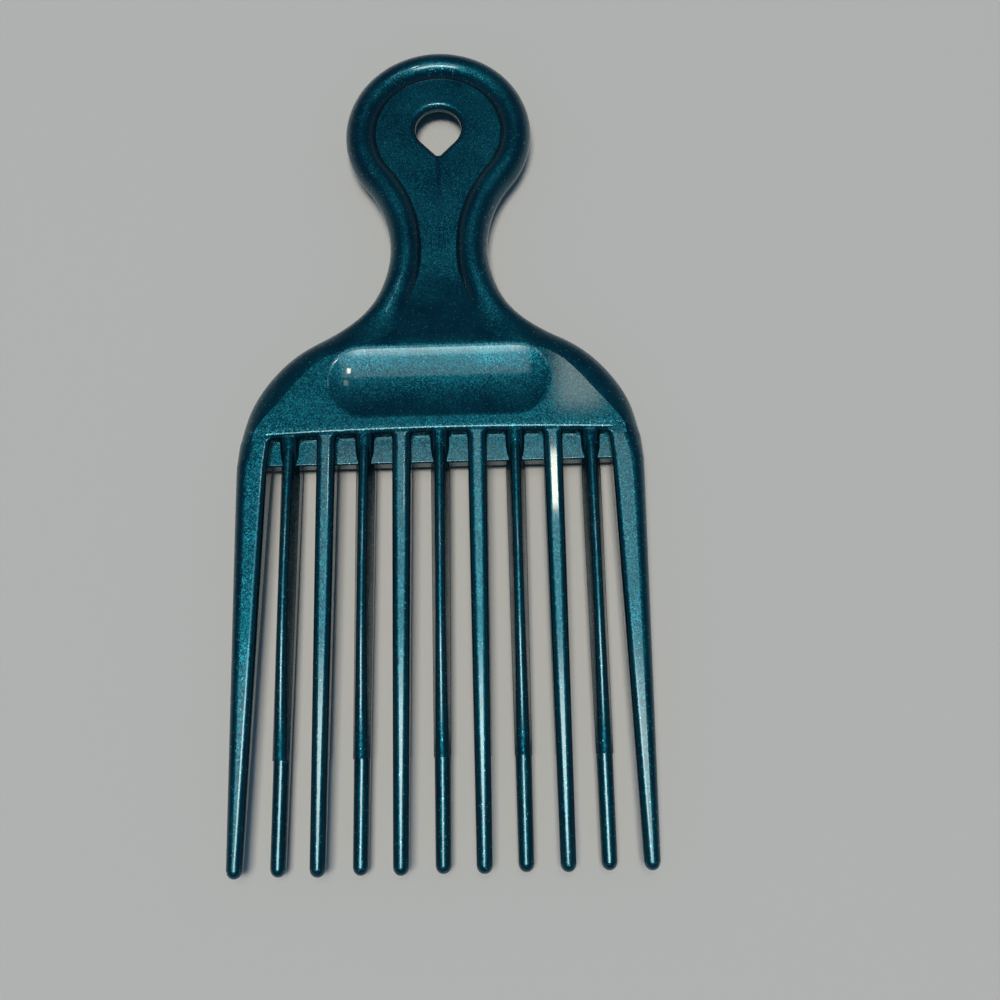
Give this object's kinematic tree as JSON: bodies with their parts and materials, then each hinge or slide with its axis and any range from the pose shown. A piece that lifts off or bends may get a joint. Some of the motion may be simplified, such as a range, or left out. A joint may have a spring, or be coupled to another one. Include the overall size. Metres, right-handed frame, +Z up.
{
  "type": "afro pick",
  "caption": "Flat moulded plastic hair pick: bead-rimmed handle with a teardrop hanging hole, scooped shoulder, and long round-tipped teeth staggered in a front and a rear row.",
  "frame": {"origin": "under the middle of the bounding box, on the table that the back of the shoulder lies on", "axes": "+X across the teeth, +Y along the pick from the tooth tips to the head, +Z up out of the front face with the scoop"},
  "size_m": [0.0768, 0.1644, 0.008],
  "materials": {
    "pearl_plastic": "glossy moulded plastic, dark teal with a fine metal flake"
  },
  "bodies": {
    "root": {"handle_rim": "pearl_plastic", "handle_panel": "pearl_plastic", "shoulder": "pearl_plastic", "front_tooth_1": "pearl_plastic", "front_tooth_2": "pearl_plastic", "front_tooth_3": "pearl_plastic", "front_tooth_4": "pearl_plastic", "front_tooth_5": "pearl_plastic", "front_tooth_6": "pearl_plastic", "rear_tooth_1": "pearl_plastic", "rear_tooth_2": "pearl_plastic", "rear_tooth_3": "pearl_plastic", "rear_tooth_4": "pearl_plastic", "rear_tooth_5": "pearl_plastic", "web_1": "pearl_plastic", "web_2": "pearl_plastic", "web_3": "pearl_plastic", "web_4": "pearl_plastic", "web_5": "pearl_plastic", "web_6": "pearl_plastic", "web_7": "pearl_plastic", "web_8": "pearl_plastic", "web_9": "pearl_plastic", "web_10": "pearl_plastic"}
  },
  "joints": []
}
